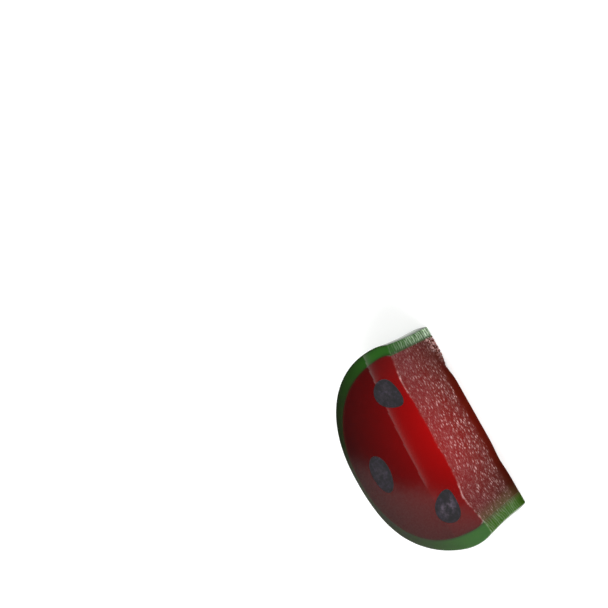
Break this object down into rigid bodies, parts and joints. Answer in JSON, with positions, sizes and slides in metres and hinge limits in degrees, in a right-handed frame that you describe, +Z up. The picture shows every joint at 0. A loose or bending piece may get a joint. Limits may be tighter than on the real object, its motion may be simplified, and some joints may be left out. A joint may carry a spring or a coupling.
{
  "type": "fruit-shaped licorice candy",
  "caption": "Chewy licorice candy shaped like a slice of watermelon, cut from a pressed rope: green rind, red flesh, dark seeds, a grained flat side and smooth cut faces.",
  "frame": {"origin": "under the middle of the candy's box, on the lower cut face that it lies on", "axes": "+X along the flat side, +Y out of the flat side and away from the rind's belly, +Z up along the rope from which the piece was cut"},
  "size_m": [0.0272, 0.0136, 0.0125],
  "materials": {
    "rind": "dark green licorice gel, smooth and glossy",
    "flesh": "red licorice gel, glossy on the cuts and grained on the flat side",
    "seed": "slate-black licorice, matte with a fine grain"
  },
  "bodies": {
    "root": {"rind": "rind", "flesh": "flesh", "seed_1": "seed", "seed_2": "seed", "seed_3": "seed"}
  },
  "joints": []
}
